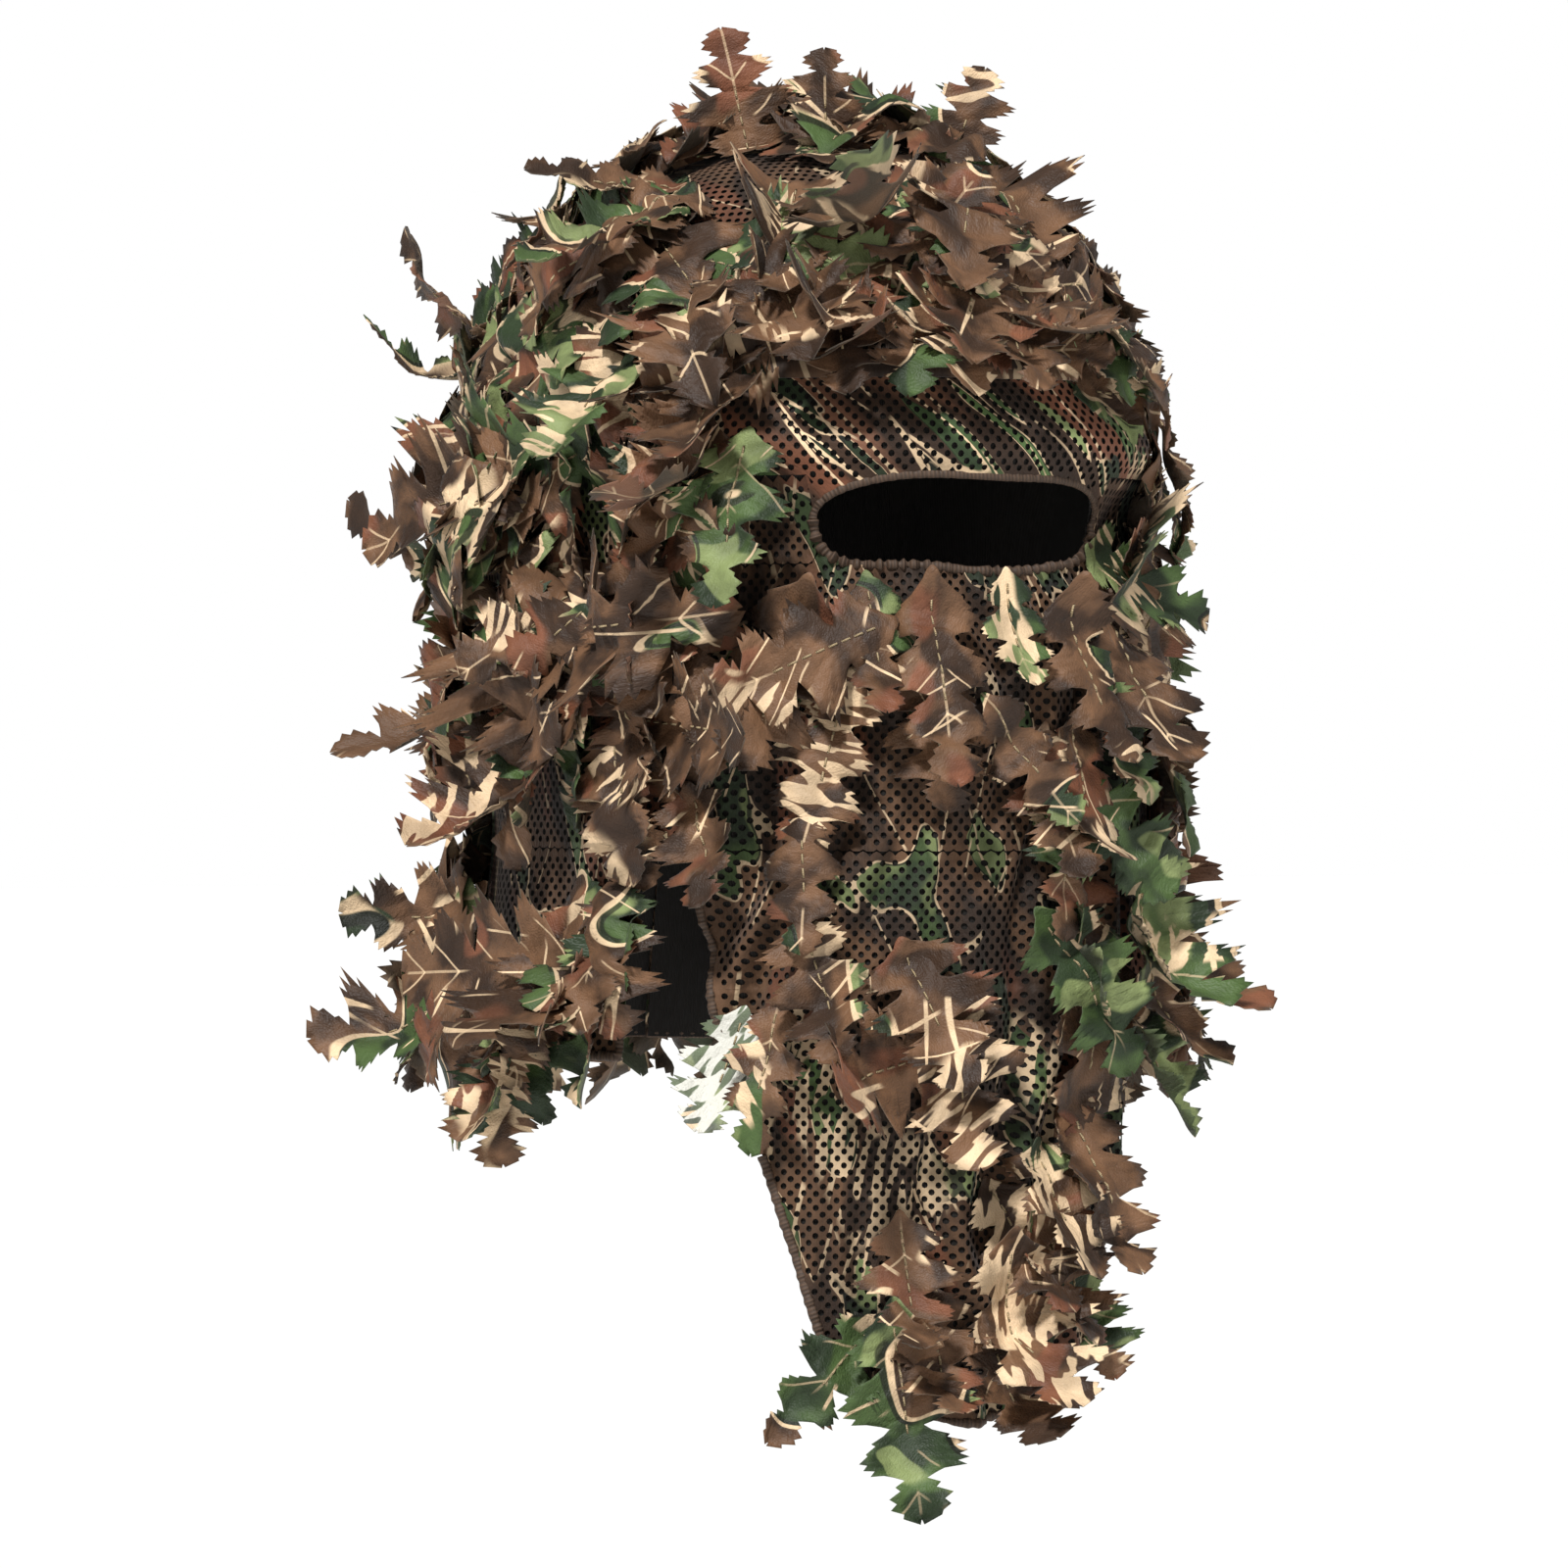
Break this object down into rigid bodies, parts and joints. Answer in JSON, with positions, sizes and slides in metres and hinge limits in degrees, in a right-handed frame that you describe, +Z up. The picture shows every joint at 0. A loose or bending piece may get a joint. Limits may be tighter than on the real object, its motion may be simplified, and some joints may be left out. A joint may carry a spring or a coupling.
{
  "type": "camouflage face mask",
  "caption": "Knitted net hood with an eye slot, a long hanging bib and a slit neck skirt, covered all over in sewn-on cloth leaves for breaking up a wearer's outline.",
  "frame": {"origin": "point where the top of the wearer's head touches the inside of the crown", "axes": "+Z up, -Y the way the face looks, +X the wearer's left"},
  "size_m": [0.262, 0.2976, 0.4604],
  "materials": {
    "knitted_net": "open polyester net with round holes, printed in brown, green and tan",
    "leaf_cloth": "thin die-cut polyester with a slight sheen, printed in brown, green and tan",
    "binding_tape": "narrow dark folded tape",
    "elastic": "flat woven elastic",
    "thread": "tan lockstitch thread"
  },
  "bodies": {
    "hood": {"crown_right": "knitted_net", "crown_left": "knitted_net", "side_right": "knitted_net", "side_left": "knitted_net", "brow_band": "knitted_net", "temple_right": "knitted_net", "temple_left": "knitted_net", "face_panel": "knitted_net", "skirt_right": "knitted_net", "skirt_left": "knitted_net", "centre_seam_tape": "binding_tape", "crown_seam_tape": "binding_tape", "cheek_seam_right": "binding_tape", "cheek_seam_left": "binding_tape", "slot_binding_upper": "binding_tape", "slot_binding_lower": "binding_tape", "slot_elastic": "elastic", "nape_tack": "thread", "skirt_hem_right": "binding_tape", "skirt_hem_left": "binding_tape", "slit_tack_right": "thread", "slit_tack_left": "thread", "leaves_top": "leaf_cloth", "leaves_crown_right": "leaf_cloth", "leaves_crown_left": "leaf_cloth", "leaves_crown_back": "leaf_cloth", "leaves_side_right": "leaf_cloth", "leaves_side_left": "leaf_cloth", "leaves_back_right": "leaf_cloth", "leaves_back_left": "leaf_cloth", "leaves_nape": "leaf_cloth", "leaves_face_right": "leaf_cloth", "leaves_face_left": "leaf_cloth", "leaves_face_centre": "leaf_cloth", "leaves_skirt_right": "leaf_cloth", "leaves_skirt_left": "leaf_cloth", "stitches_crown": "thread", "stitches_sides": "thread", "stitches_back": "thread", "stitches_face": "thread", "stitches_skirt": "thread"},
    "bib_top": {"bib_upper": "knitted_net", "bib_upper_binding": "binding_tape", "leaves_bib_upper": "leaf_cloth", "stitches_bib_upper": "thread"},
    "bib_tip": {"bib_lower": "knitted_net", "bib_hem_binding": "binding_tape", "leaves_bib_lower": "leaf_cloth", "stitches_bib_lower": "thread"},
    "flap_right": {"flap_right": "knitted_net", "flap_right_hem": "binding_tape", "leaves_flap_right": "leaf_cloth"},
    "flap_left": {"flap_left": "knitted_net", "flap_left_hem": "binding_tape", "leaves_flap_left": "leaf_cloth"}
  },
  "joints": [
    {"name": "bib_lift", "type": "hinge", "parent": "hood", "child": "bib_top", "pos_m": [0, -0.1186, -0.215], "axis": [-1, 0, 0], "range_deg": [0, 70]},
    {"name": "bib_fold", "type": "hinge", "parent": "bib_top", "child": "bib_tip", "pos_m": [0, -0.1146, -0.3], "axis": [-1, 0, 0], "range_deg": [0, 75]},
    {"name": "slit_corner_right", "type": "hinge", "parent": "hood", "child": "flap_right", "pos_m": [-0.09991, -0.01581, -0.25025], "axis": [-0.1366, 0.8071, -0.5744], "range_deg": [0, 50]},
    {"name": "slit_corner_left", "type": "hinge", "parent": "hood", "child": "flap_left", "pos_m": [0.09991, -0.01581, -0.25025], "axis": [-0.1366, -0.8071, 0.5744], "range_deg": [0, 50]}
  ]
}
